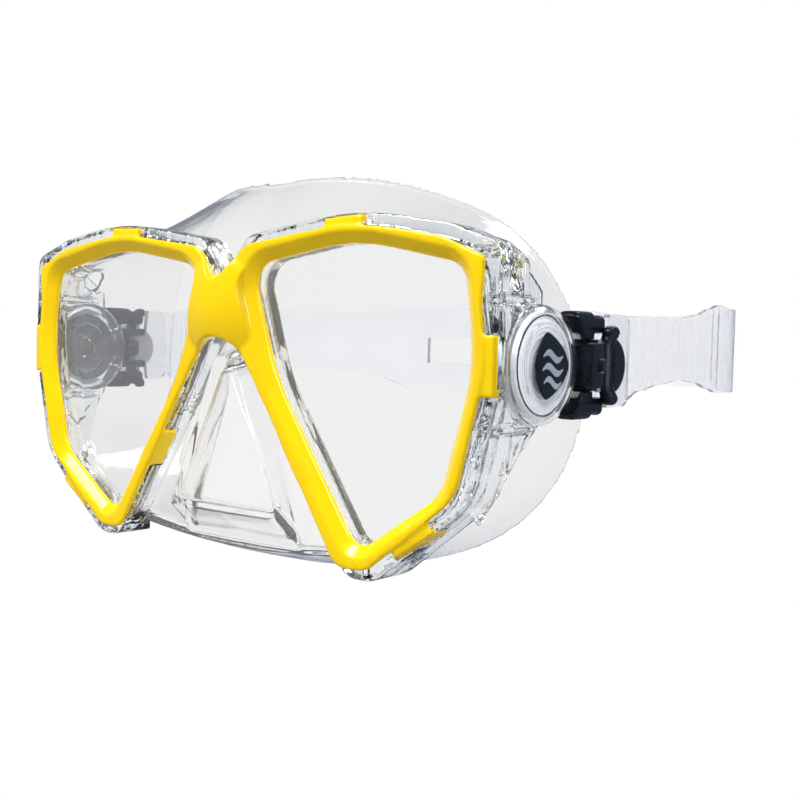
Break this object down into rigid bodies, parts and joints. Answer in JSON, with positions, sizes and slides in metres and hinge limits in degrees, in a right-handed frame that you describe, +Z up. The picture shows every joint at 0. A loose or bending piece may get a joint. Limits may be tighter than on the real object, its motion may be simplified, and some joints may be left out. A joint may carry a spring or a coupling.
{
  "type": "snorkel mask",
  "caption": "Two-lens snorkel mask with a one-piece bezel, clear frame, silicone skirt with nose pocket, squeeze buckles and a looped strap.",
  "frame": {"origin": "middle of the seal that rests on the face, 45 mm behind the bezel's front edge, on the mirror plane", "axes": "+Z up, the mask looks along -Y, +X is to the right seen from in front, X = 0 is the mirror plane"},
  "size_m": [0.1926, 0.1328, 0.1073],
  "materials": {
    "yellow_plastic": "high gloss, deep yellow",
    "clear_plastic": "clear polished polycarbonate",
    "clear_silicone": "clear soft silicone, slightly milky",
    "strap_silicone": "clear silicone with fine cross ribs",
    "lens_glass": "tempered clear glass",
    "black_plastic": "satin black acetal",
    "badge_plastic": null,
    "spring_steel": "stainless steel"
  },
  "bodies": {
    "mask": {"bezel": "yellow_plastic", "main_frame": "clear_plastic", "skirt": "clear_silicone", "right_lens": "lens_glass", "right_pod_cover": "clear_plastic", "right_badge": "badge_plastic", "left_lens": "lens_glass", "left_pod_cover": "clear_plastic", "left_badge": "badge_plastic"},
    "strap": {"strap": "strap_silicone"},
    "right_buckle": {"right_buckle_base": "black_plastic", "right_wing_spring_upper": "spring_steel", "right_wing_spring_lower": "spring_steel", "right_roller_pin": "spring_steel", "right_lever_pin": "spring_steel", "right_lever_spring": "spring_steel"},
    "right_wing_upper": {"right_wing_upper": "black_plastic"},
    "right_wing_lower": {"right_wing_lower": "black_plastic"},
    "right_roller": {"right_roller": "black_plastic"},
    "right_lever": {"right_lever": "black_plastic"},
    "left_buckle": {"left_buckle_base": "black_plastic", "left_wing_spring_upper": "spring_steel", "left_wing_spring_lower": "spring_steel", "left_roller_pin": "spring_steel", "left_lever_pin": "spring_steel", "left_lever_spring": "spring_steel"},
    "left_wing_upper": {"left_wing_upper": "black_plastic"},
    "left_wing_lower": {"left_wing_lower": "black_plastic"},
    "left_roller": {"left_roller": "black_plastic"},
    "left_lever": {"left_lever": "black_plastic"}
  },
  "joints": [
    {"name": "strap_swing", "type": "hinge", "parent": "mask", "child": "strap", "pos_m": [0, -0.023, 0.0093], "axis": [1, 0, 0], "range_deg": [-25, 25]},
    {"name": "right_buckle_swivel", "type": "hinge", "parent": "mask", "child": "right_buckle", "pos_m": [0.084, -0.023, 0.0093], "axis": [1, 0, 0], "range_deg": [-25, 25]},
    {"name": "right_wing_upper_press", "type": "slide", "parent": "right_buckle", "child": "right_wing_upper", "axis": [0, 0, -1], "range_m": [0, 0.0011], "stiffness_N_per_m": 400, "springref_m": -0.002, "deforming": ["right_wing_spring_upper"]},
    {"name": "right_wing_lower_press", "type": "slide", "parent": "right_buckle", "child": "right_wing_lower", "axis": [0, 0, 1], "range_m": [0, 0.0011], "stiffness_N_per_m": 400, "springref_m": -0.002, "deforming": ["right_wing_spring_lower"]},
    {"name": "right_roller_spin", "type": "hinge", "parent": "right_buckle", "child": "right_roller", "pos_m": [0.0863, -0.0018, 0.0093], "axis": [0, 0, 1], "continuous": true},
    {"name": "right_lever_lift", "type": "hinge", "parent": "right_buckle", "child": "right_lever", "pos_m": [0.0905, -0.0041, 0.0093], "axis": [0, 0, -1], "range_deg": [0, 18], "stiffness_Nm_per_rad": 0.02, "springref_deg": -17.19},
    {"name": "left_buckle_swivel", "type": "hinge", "parent": "mask", "child": "left_buckle", "pos_m": [-0.084, -0.023, 0.0093], "axis": [1, 0, 0], "range_deg": [-25, 25]},
    {"name": "left_wing_upper_press", "type": "slide", "parent": "left_buckle", "child": "left_wing_upper", "axis": [0, 0, -1], "range_m": [0, 0.0011], "stiffness_N_per_m": 400, "springref_m": -0.002, "deforming": ["left_wing_spring_upper"]},
    {"name": "left_wing_lower_press", "type": "slide", "parent": "left_buckle", "child": "left_wing_lower", "axis": [0, 0, 1], "range_m": [0, 0.0011], "stiffness_N_per_m": 400, "springref_m": -0.002, "deforming": ["left_wing_spring_lower"]},
    {"name": "left_roller_spin", "type": "hinge", "parent": "left_buckle", "child": "left_roller", "pos_m": [-0.0863, -0.0018, 0.0093], "axis": [0, 0, 1], "continuous": true},
    {"name": "left_lever_lift", "type": "hinge", "parent": "left_buckle", "child": "left_lever", "pos_m": [-0.0905, -0.0041, 0.0093], "axis": [0, 0, 1], "range_deg": [0, 18], "stiffness_Nm_per_rad": 0.02, "springref_deg": -17.19}
  ],
  "couplings": [
    {"joint": "right_buckle_swivel", "follows": "strap_swing", "ratio": 1},
    {"joint": "right_wing_lower_press", "follows": "right_wing_upper_press", "ratio": 1},
    {"joint": "left_buckle_swivel", "follows": "strap_swing", "ratio": 1},
    {"joint": "left_wing_lower_press", "follows": "left_wing_upper_press", "ratio": 1}
  ]
}
